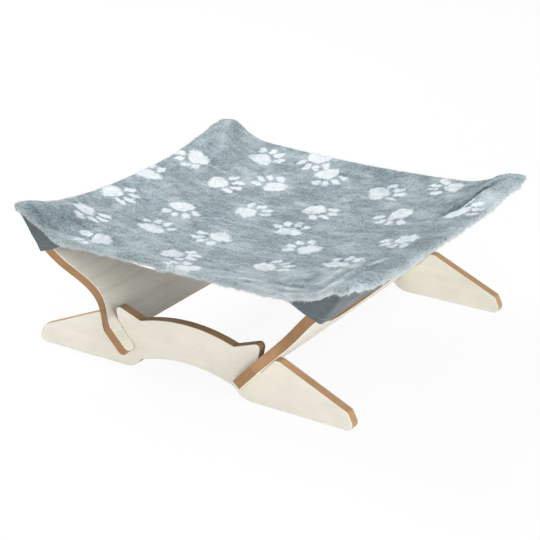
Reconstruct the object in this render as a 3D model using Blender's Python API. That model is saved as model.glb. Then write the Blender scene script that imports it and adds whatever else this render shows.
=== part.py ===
"""A cat hammock bed: four plywood boards that slot together without screws, and a plush
sheet whose corner pockets slip over the four horns of the two leaning boards.

Metres, +Z up. The bed stands on z = 0 with its middle over the origin. X runs across it,
from one leaning board to the other, and Y runs along them. The bed is the same on both
sides of X and of Y, so each outline is drawn for one half or one corner and mirrored.
"""

import math

import bmesh
import bpy
from mathutils import Matrix, Vector

# Fits
GAP = 0.0003                    # clearance between two pieces that touch

# All boards
BOARD = 0.012                   # thickness of the plywood
ARRIS = 0.0006                  # bevel along a board's sawn edges
CORNER_STEPS = 5                # faces that round one corner

# Leaning boards. Their outline is drawn on the slope: y along it, t up it
LEAN = math.radians(47.2)       # slope, from the floor
HEEL_X = 0.0774                 # lower outer edge of a leaning board, from the middle
HEEL_Z = 0.018                  # and from the floor
WING_LENGTH = 0.185             # up the slope, from the leg ends to the horn tips
HORN_Y = 0.204                  # half the length of a leaning board at its horns
BAR_T = 0.021                   # lower edge between the legs
HOLLOW_R = 0.158                # radius of the round hollow in the upper edge
BRIDGE = 0.021                  # wood left between the hollow and the lower edge
HORN_FALL = 0.014               # how far a horn's tip slants down to the hollow
HORN_IN_R = 0.022               # rounding of a horn towards the hollow
HORN_OUT_R = 0.009              # and at its outer corner
TONGUE = 0.0155                 # width of the tongue on each side of a slot
TONGUE_R = 0.0065               # rounding of the tongues' ends
LAP_T = 0.027                   # where a leaning board and a rail meet in their slots
WAIST_DEPTH = 0.0195            # hollow in each short end, above the legs
WAIST_LOW_T = 0.035             # where that hollow starts
WAIST_BELOW_TIP = 0.035         # where it ends, below the horn's tip
WAIST_SKEW = 0.69               # below 1 sets its deepest place nearer the legs
WAIST_STEPS = 18
HOLLOW_STEPS = 20

# Rails. Their outline is drawn upright: x across, z up
RAIL_Y = 0.1832                 # outer face of a rail, from the middle
HEAD_HALF = 0.0617              # from the middle to the dip beside an ear
HEAD_DIP_Z = 0.0597             # height of that dip
HEAD_RISE = 0.0098              # how far the head's arc rises over the dips
EAR_STAND = 0.0035              # from the slot's mouth out to the ear's tip
EAR_Z = 0.0722                  # height of the ear, before its tip is rounded
EAR_MOUTH_Z = 0.0530            # where the ear leaves the leaning board
EAR_R = 0.0050                  # rounding of the ear's tip
DIP_R = 0.0040                  # and of the dip
SHOULDER_Z = 0.0569             # top of the foot beside the slot
MOUTH_R = 0.0010                # rounding of its edge at the slot's mouth
SHOULDER_OUT = 0.0058           # from the slot to where the foot's top starts to fall
SHOULDER_R = 0.0070
FOOT_TIP_X = 0.2127             # end of the foot, before its corners are rounded
FOOT_TIP_Z = 0.0205             # height of the foot's top at its end
FOOT_LIFT_X = 0.0100            # how far the end leans out from top to bottom
FOOT_TOP_R = 0.0065
FOOT_TOE_R = 0.0070
FOOT_HEEL_X = 0.0844            # where the foot's flat bottom starts
FOOT_HEEL_R = 0.0250            # curve from there up to the arch
HEEL_SHARE = 0.93               # part of that curve left beside the arch's rounded end
HEEL_STEPS = 6
HEAD_STEPS = 9
ARCH_HALF = 0.0620              # half the width of the arch below the head
ARCH_TOP_Z = 0.0235
ARCH_R = 0.180
ARCH_END_R = 0.0050
ARCH_SHARE = 0.90               # part of the arch left beside its rounded end
ARCH_STEPS = 8

# Plush sheet, its lining and its corner pockets
PLUSH = 0.0070                  # thickness of the plush, pile included
LINING = 0.0010
OVERHANG_X = 0.0140             # sheet beyond the horn tips, across
OVERHANG_Y = 0.0060             # and along
SIDE_DRAW = 0.0080              # how far the middle of a side hem draws in
END_DRAW = 0.0070               # and the middle of an end hem
MIDDLE_SAG = 0.0458             # below the horn tips, at the middle of the sheet
SIDE_SAG = 0.0173               # at the middle of a side hem
END_SAG = 0.0233                # at the middle of an end hem
HAMMOCK_POWER = 2.4             # shape of the hollow across the sheet
SPREAD_POWER = 3.0              # how near the hems keep to their own shape
KNEE_X = 0.0610                 # an end hem rises over this length, up to the corner
KNEE_SLOPE = 0.38
KNEE_SOFT = 0.0060              # half the length of the bend where it starts to rise
DRAPE_SLOPE = 0.55              # fall of the cloth from a horn into the hollow
DRAPE_REST = 0.0120             # cloth past a horn that is still level with it
TIP_REST = 0.0020               # cloth past a horn's tip before it turns down
END_REST = 0.0006               # and past its end
TIP_FALL = 0.45                 # slope of the cloth beyond a horn's tip
END_FALL = 2.2                  # and beyond its end, which it hangs down over
BLEND = 0.0040                  # softness where the cloth lifts off a horn
FOLD_HEIGHT = 0.0050            # of the folds that run in from the corners
FOLD_WIDTH = 0.0160
FOLD_START = 0.14               # along the diagonal, as a share from corner to middle
FOLD_END = 0.62
CELLS = 22                      # faces of the sheet each way between its ridges
EDGE_CROWDING = 0.86            # near 1 sets more of them close to the hems
SLOPE_STEP = 0.0020             # length over which the sheet's slope is measured
STEEP_MOST = 1.20               # steeper than this, the pile is pressed thinner
POCKET_WALL = 0.0012
POCKET_LEG_X = 0.0680           # pocket along the end hem, from the corner
POCKET_LEG_Y = 0.0720           # pocket along the side hem
POCKET_DEPTH = 0.0390           # from the horn's tip down the slope to the pocket's mouth
POCKET_HANG = 0.0009            # seam allowance below the sheet
POCKET_END = 0.0030             # depth of the pocket where its mouth meets a hem
SEAM_IN = 0.0030                # from a side hem in to the pocket's seam
MOUTH_SPLIT = 0.6               # part of the mouth that lies on the horn's outer face
POCKET_END_CELLS = 8            # faces of the pocket along the end hem
POCKET_SIDE_CELLS = 10          # along the side hem
POCKET_ROWS = 4                 # and from its seam to its mouth

# Worked out from the sizes above
UP_X = math.cos(LEAN)
UP_Z = math.sin(LEAN)
HOLLOW_T = BAR_T + BRIDGE + HOLLOW_R            # height of the hollow's centre
RAIL_IN_Y = RAIL_Y - BOARD
LEG_Y = RAIL_Y + GAP + TONGUE                   # outer end of a leg
WAIST_HIGH_T = WING_LENGTH - WAIST_BELOW_TIP
TIP_X = HEEL_X + WING_LENGTH * UP_X             # outer edge of a horn's tip
TIP_IN_X = TIP_X - BOARD * UP_Z                 # inner, upper edge of a horn's tip
TIP_IN_Z = HEEL_Z + WING_LENGTH * UP_Z + BOARD * UP_X
SHEET_X = TIP_X + OVERHANG_X
SHEET_Y = HORN_Y + OVERHANG_Y
RIDGE_Y = HORN_Y + END_REST                     # where the cloth turns down over the ends
POCKET_T = WING_LENGTH - POCKET_DEPTH

# Colours, roughness
PLY_FACE = ((0.76, 0.72, 0.62), 0.55)
PLUSH_BLUE = ((0.23, 0.31, 0.34), 0.95)
LINING_SLATE = ((0.15, 0.19, 0.21), 0.80)


def clear_scene():
    for thing in list(bpy.data.objects):
        bpy.data.objects.remove(thing, do_unlink=True)


def material(name, finish):
    colour, roughness = finish
    made = bpy.data.materials.new(name)
    made.use_nodes = True
    shader = made.node_tree.nodes["Principled BSDF"]
    shader.inputs["Base Color"].default_value = (*colour, 1.0)
    shader.inputs["Roughness"].default_value = roughness
    shader.inputs["Metallic"].default_value = 0.0
    return made


def add_object(name, mesh, place=Matrix.Identity(4)):
    piece = bpy.data.objects.new(name, mesh)
    piece.matrix_world = place
    bpy.context.scene.collection.objects.link(piece)
    return piece


# Outlines

def arc(centre, radius, start, end, steps):
    """Points on an arc, both ends included, as corners that need no rounding."""
    corners = []
    for i in range(steps + 1):
        angle = start + (end - start) * i / steps
        corners.append((centre[0] + radius * math.cos(angle),
                        centre[1] + radius * math.sin(angle), 0.0))
    return corners


def rounded(corners):
    """A closed outline from (a, b, radius) corners, each rounded by its radius."""
    points = []
    count = len(corners)
    for i, (a, b, radius) in enumerate(corners):
        here = Vector((a, b))
        if radius == 0.0:
            points.append(here)
            continue
        back = Vector(corners[i - 1][:2]) - here
        onward = Vector(corners[(i + 1) % count][:2]) - here
        half = back.angle(onward) / 2
        reach = min(radius / math.tan(half), 0.49 * back.length, 0.49 * onward.length)
        back.normalize()
        onward.normalize()
        centre = here + (back + onward).normalized() * reach / math.cos(half)
        spoke = here + back * reach - centre
        turn = spoke.angle_signed(here + onward * reach - centre)
        for k in range(CORNER_STEPS + 1):
            points.append(centre + Matrix.Rotation(-turn * k / CORNER_STEPS, 2) @ spoke)
    return points


def mirrored(half):
    """The whole outline from the corners of the half with a positive first number."""
    other = []
    for a, b, radius in reversed(half):
        if a > 0.0:
            other.append((-a, b, radius))
    return half + other


def board_mesh(name, outline):
    """A board: the outline at height 0, raised by the board's thickness, with its long
    edges bevelled on both faces."""
    made = bmesh.new()
    floor = made.faces.new([made.verts.new((p.x, p.y, 0.0)) for p in outline])
    floor.normal_update()
    if floor.normal.z > 0.0:
        floor.normal_flip()
    raised = bmesh.ops.extrude_face_region(made, geom=[floor], use_keep_orig=True)
    lid = [part for part in raised["geom"] if isinstance(part, bmesh.types.BMFace)][0]
    bmesh.ops.translate(made, vec=(0.0, 0.0, BOARD), verts=lid.verts)
    bmesh.ops.recalc_face_normals(made, faces=made.faces)
    edges = set(floor.edges) | set(lid.edges)
    bmesh.ops.bevel(made, geom=list(edges), offset=ARRIS, segments=1, affect="EDGES",
                    offset_type="OFFSET")
    mesh = bpy.data.meshes.new(name)
    made.to_mesh(mesh)
    made.free()
    mesh.shade_smooth()
    mesh.set_sharp_from_angle(angle=math.radians(28))
    return mesh


# Leaning boards

def wing_end(t):
    """Half length of a leaning board at the height t on its slope."""
    share = (t - WAIST_LOW_T) / (WAIST_HIGH_T - WAIST_LOW_T)
    if share <= 0.0:
        return LEG_Y
    if share >= 1.0:
        return HORN_Y
    waist = math.sin(math.pi * share ** WAIST_SKEW) ** 2
    return LEG_Y + (HORN_Y - LEG_Y) * share - WAIST_DEPTH * waist


def hollow_y(t):
    """Half width of the round hollow at the height t, 0 below it."""
    below = HOLLOW_T - t
    return math.sqrt(max(0.0, HOLLOW_R ** 2 - below ** 2))


def horn_top(y):
    """Height on the slope of a horn's slanting tip, level with its lower end beyond it."""
    share = min(max(0.0, (HORN_Y - abs(y)) / (HORN_Y - HOLLOW_R)), 1.0)
    return WING_LENGTH - HORN_FALL * share


def wing_outline():
    slot_in = RAIL_IN_Y - GAP
    slot_out = RAIL_Y + GAP
    leg_in = slot_in - TONGUE
    half = [(0.0, BAR_T, 0.0),
            (leg_in, BAR_T, TONGUE_R),
            (leg_in, 0.0, TONGUE_R),
            (slot_in, 0.0, TONGUE_R),
            (slot_in, LAP_T + GAP, 0.0),
            (slot_out, LAP_T + GAP, 0.0),
            (slot_out, 0.0, TONGUE_R),
            (LEG_Y, 0.0, TONGUE_R)]
    for i in range(WAIST_STEPS + 1):
        t = WAIST_LOW_T + (WAIST_HIGH_T - WAIST_LOW_T) * i / WAIST_STEPS
        half.append((wing_end(t), t, 0.0))
    low_tip = WING_LENGTH - HORN_FALL
    half.append((HORN_Y, WING_LENGTH, HORN_OUT_R))
    half.append((hollow_y(low_tip), low_tip, HORN_IN_R))
    # The hollow, from under the horn's rounding down to its lowest point
    start = -math.asin((HOLLOW_T - low_tip + HORN_IN_R) / HOLLOW_R)
    half += arc((0.0, HOLLOW_T), HOLLOW_R, start, -math.pi / 2, HOLLOW_STEPS)
    half[-1] = (0.0, BAR_T + BRIDGE, 0.0)
    return rounded(mirrored(half))


def wing_place(side):
    """Local x is y along the board, local y is t up its slope, local z is its thickness
    towards the sheet. The other board is the same one, turned half round."""
    axes = Matrix(((0.0, UP_X, -UP_Z, HEEL_X),
                   (1.0, 0.0, 0.0, 0.0),
                   (0.0, UP_Z, UP_X, HEEL_Z),
                   (0.0, 0.0, 0.0, 1.0)))
    if side < 0:
        return Matrix.Rotation(math.pi, 4, "Z") @ axes
    return axes


def add_wings(finish):
    mesh = board_mesh("leaning_board", wing_outline())
    mesh.materials.append(finish)
    add_object("left_wing", mesh, wing_place(-1))
    add_object("right_wing", mesh, wing_place(1))


# Rails

def wing_face_x(z, inner):
    """Where a leaning board's inner or outer face is at the height z."""
    x = HEEL_X + (z - HEEL_Z) * UP_X / UP_Z
    return x - BOARD / UP_Z if inner else x


def slot_corner(inner):
    """Lower corner of a rail's slot, on the inner or outer face of the leaning board."""
    off = BOARD + GAP if inner else -GAP
    t = LAP_T
    return (HEEL_X + t * UP_X - off * UP_Z, HEEL_Z + t * UP_Z + off * UP_X, 0.0)


def rail_outline():
    slack = GAP / UP_Z
    mouth_in = wing_face_x(EAR_MOUTH_Z, True) - slack
    mouth_out = wing_face_x(SHOULDER_Z, False) + slack
    head_r = (HEAD_HALF ** 2 + HEAD_RISE ** 2) / (2 * HEAD_RISE)
    head_centre = (0.0, HEAD_DIP_Z + HEAD_RISE - head_r)
    lean = math.asin(HEAD_HALF / head_r)
    half = arc(head_centre, head_r, math.pi / 2, math.pi / 2 - lean, HEAD_STEPS)
    half[0] = (0.0, HEAD_DIP_Z + HEAD_RISE, 0.0)
    half[-1] = (HEAD_HALF, HEAD_DIP_Z, DIP_R)
    half += [(mouth_in + EAR_STAND, EAR_Z, EAR_R),
             (mouth_in, EAR_MOUTH_Z, 0.0),
             slot_corner(True),
             slot_corner(False),
             (mouth_out, SHOULDER_Z, MOUTH_R),
             (mouth_out + SHOULDER_OUT, SHOULDER_Z, SHOULDER_R),
             (FOOT_TIP_X - FOOT_LIFT_X, FOOT_TIP_Z, FOOT_TOP_R),
             (FOOT_TIP_X, 0.0, FOOT_TOE_R)]
    # The curve from the flat bottom up to the arch, then the arch itself
    arch_end_z = ARCH_TOP_Z - ARCH_R + math.sqrt(ARCH_R ** 2 - ARCH_HALF ** 2)
    run = min(FOOT_HEEL_X - ARCH_HALF, FOOT_HEEL_R)
    half += arc((FOOT_HEEL_X, FOOT_HEEL_R), FOOT_HEEL_R, -math.pi / 2,
                -math.pi / 2 - math.asin(run / FOOT_HEEL_R) * HEEL_SHARE, HEEL_STEPS)
    half.append((ARCH_HALF, arch_end_z, ARCH_END_R))
    spread = math.asin(ARCH_HALF / ARCH_R) * ARCH_SHARE
    half += arc((0.0, ARCH_TOP_Z - ARCH_R), ARCH_R, math.pi / 2 - spread, math.pi / 2, ARCH_STEPS)
    half[-1] = (0.0, ARCH_TOP_Z, 0.0)
    return rounded(mirrored(half))


def add_rails(finish):
    """Local x is across, local y is up and local z is the thickness, outward."""
    mesh = board_mesh("rail", rail_outline())
    mesh.materials.append(finish)
    upright = Matrix(((1.0, 0.0, 0.0, 0.0),
                      (0.0, 0.0, -1.0, -RAIL_IN_Y),
                      (0.0, 1.0, 0.0, 0.0),
                      (0.0, 0.0, 0.0, 1.0)))
    add_object("front_rail", mesh, upright)
    add_object("back_rail", mesh, Matrix.Rotation(math.pi, 4, "Z") @ upright)


# Sheet

def soft_over(value):
    """The value where it is above 0, with a rounded knee."""
    return 0.5 * (value + math.sqrt(value * value + KNEE_SOFT ** 2))


def hanging_z(x, y):
    """Underside of the sheet where it hangs free between the horns."""
    u = min(abs(x) / SHEET_X, 1.0)
    v = min(abs(y) / SHEET_Y, 1.0)
    middle = TIP_IN_Z - MIDDLE_SAG + (MIDDLE_SAG - SIDE_SAG) * u ** HAMMOCK_POWER
    hem = TIP_IN_Z - END_SAG + KNEE_SLOPE * soft_over(abs(x) - SHEET_X + KNEE_X)
    share = v ** SPREAD_POWER
    return middle * (1.0 - share) + hem * share


def horn_z(x, y):
    """Underside of the sheet where a horn carries it, and where it falls away from it."""
    along = min(abs(x), ridge_x(y))
    t = (along - HEEL_X + BOARD * UP_Z) / UP_X
    level = HEEL_Z + t * UP_Z + BOARD * UP_X
    past_tip = abs(x) - along
    past_end = max(0.0, abs(y) - RIDGE_Y)
    inward = max(0.0, hollow_y(min(t, WING_LENGTH)) - DRAPE_REST - abs(y))
    return level + GAP - past_tip * TIP_FALL - past_end * END_FALL - inward * DRAPE_SLOPE


def corner_fold(x, y):
    """Height of the soft fold that runs in from each corner along the diagonal."""
    u = abs(x) / SHEET_X
    v = abs(y) / SHEET_Y
    along = 1.0 - (u + v) / 2
    across = (u - v) * SHEET_X / 2
    share = (along - FOLD_START) / (FOLD_END - FOLD_START)
    if not 0.0 < share < 1.0:
        return 0.0
    return FOLD_HEIGHT * math.sin(math.pi * share) * math.exp(-(across / FOLD_WIDTH) ** 2)


def sheet_z(x, y):
    """Underside of the whole sheet: the higher of the two, with a soft change."""
    free = hanging_z(x, y) + corner_fold(x, y)
    held = horn_z(x, y)
    return 0.5 * (free + held + math.sqrt((free - held) ** 2 + BLEND ** 2))


def steepness(x, y):
    """Length of cloth for each unit of its plan, which keeps a layer's thickness until the
    pile is pressed thin where the cloth bends over a horn."""
    step = SLOPE_STEP
    dx = (sheet_z(x + step, y) - sheet_z(x - step, y)) / (2 * step)
    dy = (sheet_z(x, y + step) - sheet_z(x, y - step)) / (2 * step)
    return min(math.sqrt(1.0 + dx * dx + dy * dy), STEEP_MOST)


def ridge_x(y):
    """How far out the cloth turns down, just past the horns' upper edges."""
    return HEEL_X + horn_top(y) * UP_X - BOARD * UP_Z + TIP_REST


def side_hem_x(y):
    share = min(abs(y) / RIDGE_Y, 1.0)
    return SHEET_X - SIDE_DRAW * (1.0 - share * share) ** 2


def sheet_plan(u, v):
    """Plan position on the sheet. u runs across it, to -1 and 1 on the ridges over the
    horn tips and to -2 and 2 on the side hems. v runs along it in the same way."""
    across = min(abs(u), 1.0)
    along = min(abs(v), 1.0)
    y = along * (RIDGE_Y - END_DRAW * (1.0 - across * across) ** 2)
    y += (SHEET_Y - RIDGE_Y) * (abs(v) - along)
    x = across * ridge_x(y)
    x += (side_hem_x(y) - x) * (abs(u) - across)
    return math.copysign(x, u), math.copysign(y, v)


def stations():
    """Places from hem to hem, closer together towards the ridges at -1 and 1."""
    reach = EDGE_CROWDING * math.pi / 2
    inner = [math.sin(reach * (2 * i / CELLS - 1)) / math.sin(reach) for i in range(CELLS + 1)]
    return [-2.0] + inner + [2.0]


def layer_mesh(name, low, high):
    """A layer of the sheet as a closed solid, low and high above the underside."""
    places = stations()
    made = bmesh.new()
    sheets = []
    for rise in (low, high):
        grid = []
        for v in places:
            row = []
            for u in places:
                x, y = sheet_plan(u, v)
                row.append(made.verts.new((x, y, sheet_z(x, y) + rise * steepness(x, y))))
            grid.append(row)
        sheets.append(grid)
    under, top = sheets
    for j in range(len(places) - 1):
        for i in range(len(places) - 1):
            for grid, order in ((under, (0, 3, 2, 1)), (top, (0, 1, 2, 3))):
                ring = (grid[j][i], grid[j][i + 1], grid[j + 1][i + 1], grid[j + 1][i])
                made.faces.new([ring[k] for k in order])
    rim_low = rim(under)
    rim_top = rim(top)
    for i in range(len(rim_low)):
        k = (i + 1) % len(rim_low)
        made.faces.new((rim_low[i], rim_low[k], rim_top[k], rim_top[i]))
    bmesh.ops.triangulate(made, faces=made.faces, quad_method="FIXED")
    mesh = bpy.data.meshes.new(name)
    made.to_mesh(mesh)
    made.free()
    mesh.shade_smooth()
    mesh.set_sharp_from_angle(angle=math.radians(50))
    return mesh


def rim(grid):
    """The outer points of a grid, once round."""
    first = grid[0]
    right = [row[-1] for row in grid[1:]]
    last = grid[-1][-2::-1]
    left = [row[0] for row in grid[-2:0:-1]]
    return first + right + last + left


def add_sheet(plush, lining):
    start = LINING + GAP
    for name, low, high, finish in (("sheet_lining", 0.0, LINING, lining),
                                    ("plush_sheet", start, start + PLUSH, plush)):
        mesh = layer_mesh(name, low, high)
        mesh.materials.append(finish)
        add_object(name, mesh)


# Pockets

def on_wing_outside(t, y):
    """A point just clear of the outer face of the right leaning board."""
    off = 2 * GAP
    return Vector((HEEL_X + t * UP_X + off * UP_Z, y, HEEL_Z + t * UP_Z - off * UP_X))


def pocket_columns():
    """Pairs of points, at the seam and at the mouth, from the end hem round the horn's
    end and across its outer face to the side hem, for the corner at +x +y."""
    wall_y = HORN_Y + 2 * GAP
    corner_x = SHEET_X - SEAM_IN
    start_x = corner_x - POCKET_LEG_X
    mouth_in = on_wing_outside(POCKET_T, wall_y)
    mouth_in -= Vector((UP_Z, 0.0, -UP_X)) * BOARD
    mouth_out = on_wing_outside(POCKET_T, wall_y)
    drop = Vector((0.0, 0.0, POCKET_END))
    columns = []
    begin = seam_point(start_x, wall_y) - drop
    half = POCKET_END_CELLS // 2
    for i in range(POCKET_END_CELLS + 1):
        x = start_x + POCKET_LEG_X * i / POCKET_END_CELLS
        if i <= half:
            mouth = begin.lerp(mouth_in, i / half)
        else:
            mouth = mouth_in.lerp(mouth_out, (i - half) / (POCKET_END_CELLS - half))
        columns.append((seam_point(x, wall_y), mouth))
    end_y = wall_y - POCKET_LEG_Y
    mouth_edge = on_wing_outside(POCKET_T, hollow_y(POCKET_T))
    finish = seam_point(side_seam_x(end_y), end_y) - drop
    for i in range(1, POCKET_SIDE_CELLS + 1):
        share = i / POCKET_SIDE_CELLS
        y = wall_y - POCKET_LEG_Y * share
        if share <= MOUTH_SPLIT:
            mouth = mouth_out.lerp(mouth_edge, share / MOUTH_SPLIT)
        else:
            mouth = mouth_edge.lerp(finish, (share - MOUTH_SPLIT) / (1 - MOUTH_SPLIT))
        columns.append((seam_point(side_seam_x(y), y), mouth))
    return columns


def seam_point(x, y):
    """A point of the pocket's seam, below the sheet over the whole of its wall."""
    near = 2 * POCKET_WALL
    below = min(sheet_z(x - near, y), sheet_z(x + near, y), sheet_z(x, y), sheet_z(x, y + near))
    return Vector((x, y, below - POCKET_HANG))


def side_seam_x(y):
    """The pocket's seam along the side hem, just in from it."""
    return side_hem_x(y) - SEAM_IN


def pocket_mesh():
    made = bmesh.new()
    grid = []
    for seam, mouth in pocket_columns():
        grid.append([made.verts.new(seam.lerp(mouth, k / POCKET_ROWS))
                     for k in range(POCKET_ROWS + 1)])
    for i in range(len(grid) - 1):
        for k in range(POCKET_ROWS):
            made.faces.new((grid[i][k], grid[i + 1][k], grid[i + 1][k + 1], grid[i][k + 1]))
    mesh = bpy.data.meshes.new("corner_pocket")
    made.to_mesh(mesh)
    made.free()
    return mesh


def add_pockets(finish):
    for name, side_x, side_y in (("front_left_pocket", -1, -1), ("front_right_pocket", 1, -1),
                                 ("back_left_pocket", -1, 1), ("back_right_pocket", 1, 1)):
        mesh = pocket_mesh()
        mesh.materials.append(finish)
        mesh.transform(Matrix.Diagonal((side_x, side_y, 1.0, 1.0)))
        if side_x * side_y < 0:
            mesh.flip_normals()
        pocket = add_object(name, mesh)
        wall = pocket.modifiers.new("wall", "SOLIDIFY")
        wall.thickness = POCKET_WALL
        wall.offset = 1.0
        wall.use_even_offset = True


def build():
    clear_scene()
    ply = material("birch_plywood", PLY_FACE)
    plush = material("blue_plush", PLUSH_BLUE)
    lining = material("slate_lining", LINING_SLATE)
    add_wings(ply)
    add_rails(ply)
    add_sheet(plush, lining)
    add_pockets(lining)


build()
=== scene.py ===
"""Looks of the cat hammock bed: veneer grain and sawn edges on the four boards, and the
plush sheet, its lining, corner pockets and stitches as cloth, built around the fixed frame.

Metres, +Z up, in the frame's own axes. The cloth's heights are read off the frame's solids,
so every cloth piece stays where its solid is.
"""

import math

import bpy
import numpy as np
from mathutils import Matrix, Vector
from mathutils.bvhtree import BVHTree


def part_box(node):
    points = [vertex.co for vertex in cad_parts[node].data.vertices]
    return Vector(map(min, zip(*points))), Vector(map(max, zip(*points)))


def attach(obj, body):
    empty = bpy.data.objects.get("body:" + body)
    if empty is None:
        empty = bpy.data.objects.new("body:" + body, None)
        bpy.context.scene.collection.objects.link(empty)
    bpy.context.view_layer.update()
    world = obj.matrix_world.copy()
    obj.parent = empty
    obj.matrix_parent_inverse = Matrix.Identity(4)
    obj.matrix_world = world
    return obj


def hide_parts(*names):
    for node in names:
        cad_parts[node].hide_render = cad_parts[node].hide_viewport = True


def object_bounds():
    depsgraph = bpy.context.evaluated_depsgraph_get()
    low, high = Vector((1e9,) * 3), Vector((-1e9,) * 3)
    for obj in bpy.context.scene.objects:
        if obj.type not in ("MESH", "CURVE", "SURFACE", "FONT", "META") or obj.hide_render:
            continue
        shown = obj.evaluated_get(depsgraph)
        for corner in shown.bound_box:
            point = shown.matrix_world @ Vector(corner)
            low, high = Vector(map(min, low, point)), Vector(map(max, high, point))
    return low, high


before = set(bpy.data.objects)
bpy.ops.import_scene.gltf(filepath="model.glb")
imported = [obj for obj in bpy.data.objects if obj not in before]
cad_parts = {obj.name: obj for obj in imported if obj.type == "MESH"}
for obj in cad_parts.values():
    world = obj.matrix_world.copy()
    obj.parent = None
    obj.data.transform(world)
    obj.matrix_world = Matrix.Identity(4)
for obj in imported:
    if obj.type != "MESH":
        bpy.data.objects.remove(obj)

frame_low, frame_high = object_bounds()

# Camera, solved from the photograph
CAMERA_AT = (0.88743, -1.39888, 0.75529)
CAMERA_AZIMUTH = math.radians(32.66)
CAMERA_ELEVATION = math.radians(22.46)
CAMERA_LENS = 101.94            # in millimetres, as is its sensor's width
CAMERA_SENSOR = 36.0

# Studio
WORLD_LEVEL = 0.52
FLOOR_GREY = 0.86
FLOOR_WHITE = 0.93              # share of plain white that the camera sees in the floor
FLOOR_REACH = 6.0
LAMP_AIM = (0.0, 0.0, 0.08)
LAMPS = (                       # name, place, size and watts
    ("key", (-1.6, 0.3, 1.35), 0.8, 34.0),
    ("front", (1.9, -4.2, 0.75), 1.6, 88.0),
    ("side", (2.2, -0.4, 0.50), 1.2, 35.0),
    ("fill", (1.9, -1.3, 1.20), 1.0, 7.0),
)

# Boards
GRAINS = {"left_wing": "y", "right_wing": "y", "front_rail": "x", "back_rail": "x"}
CORES = {                       # tones of the sawn edges, by the way the grain runs
    "x": ((0.350, 0.213, 0.096), (0.400, 0.243, 0.120), (0.424, 0.236, 0.137)),
    "y": ((0.272, 0.150, 0.060), (0.312, 0.171, 0.074), (0.330, 0.167, 0.085)),
}
FIGURE = {"x": 0.05, "y": 0.13}  # strength of the veneer's broad figure
PLIES = 9

# Plush sheet
PLUSH_CELLS = (300, 290)        # faces of its top, across and along
SIDE_DRAW = 0.0080              # how far the middle of a side hem draws in, as on the solid
END_DRAW = 0.0070               # and the middle of an end hem
CORNER_DRAW = (0.0018, 0.0002)  # how far the left and the right corners' tips are rounded off
CORNER_REACH = 0.012            # and how far in from a tip that reaches
SMOOTHING = 0.0036              # the solid's facets are smoothed over this length
CLUMP = 0.00034                 # height of the pile's clumps
CLUMP_CELLS = 1.7
PILE = 0.00034                  # height of its single tufts
PILE_CELLS = 0.7
PILE_AT_HEM = 0.3               # share of both heights that is left beside the hem
PILE_FADE = 3.0                 # cells over which they fade to that
PRINT_FRAY = 0.0008             # how far the pile frays a print's edge
FRAY_CELLS = 0.9

# Its hem, which rolls round and then turns in below the lining
HEM_RINGS = 8                   # rings of points round the roll
HEM_TURN = math.radians(190)    # the hem rolls round by this much
HEM_REACH = 0.0026              # from the top's last row out to the rolled hem's edge
HEM_SLIM = 0.0007               # its radius is this much less than half the solid
HEM_BLUR = 4.0                  # the radius is smoothed over this many points
HEM_UNEVEN = 0.10               # share by which the radius comes and goes
UNEVEN_POINTS = 2.0
HEM_WAVE = 0.0007               # its edge waves in and out by about this much
WAVE_POINTS = 2.6
WAVE_LIMITS = (-2.0, 1.2)       # furthest in and out, in those waves
HEM_FUZZ = 0.00051              # its points stray by about this much outwards
FUZZ_RISE = 0.6                 # and by this share of it upwards
TURN_BLUR = 5.0                 # softness of its turn round a corner
UNDER_SHARES = (0.5, 1.0)       # places of the rings that run in below the lining
HEM_UNDER = 0.0080              # the last one lies this far in
UNDER_RISE = 0.0004             # and this high above the underside of the lining's solid
HEM_PRINT = 0.8                 # share of a print's white that runs on round the hem
SHEEN_RISE = 2.2                 # its painted sheen, which pales it, is this much times the share of its roll,
SHEEN_START = 0.9                # less this much, between 0 and 1
UNDER_SHEEN = 0.3                # and this much below the lining

# Tufts that stick out of it
TUFTS = 32000
TUFT_SHORT = 0.0010             # least length, and how much more it is on average
TUFT_MORE = 0.0010
TUFT_LONG = 0.0044
TUFT_WIDTH = 0.00021
TUFT_ROOT = 0.0004              # how deep its foot stands in the hem
TUFT_STRAY = 0.38
TUFT_DROOP = 0.15

# Lining and pockets
LINING_CELLS = (124, 120)
LINING_THICK = 0.0006
LINING_INSET = 0.0080           # from the plan's edge in to the lining's edge
LINING_RISE = 0.0013            # how far it lies above the underside of its solid
LINING_FOLD = 0.8               # the lining follows the plush's folds by this share
LINING_RIPPLE = 0.0003
RIPPLE_CELLS = 3.0
BOARD_CLEAR = 0.0004            # cloth over a board
POCKET_COLUMNS = 84
POCKET_ROWS = 30
POCKET_THICK = 0.0007
POCKET_WALL = 0.0012            # wall of the pocket's solid
POCKET_TUCK = 0.0042            # the seam lies this far up inside the hem
POCKET_FALL = 0.0010            # least way down from the seam to the mouth
POCKET_LIFT = 0.0007            # the cloth stands this far out from the straight way down
POCKET_BLUR = 1.2               # its bend round the horn is softened over this many cells
CREASE = 0.0004                 # height of its creases
CREASE_IN = 0.0001              # and how far they may go in
CREASE_CELLS = 4.0
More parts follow.
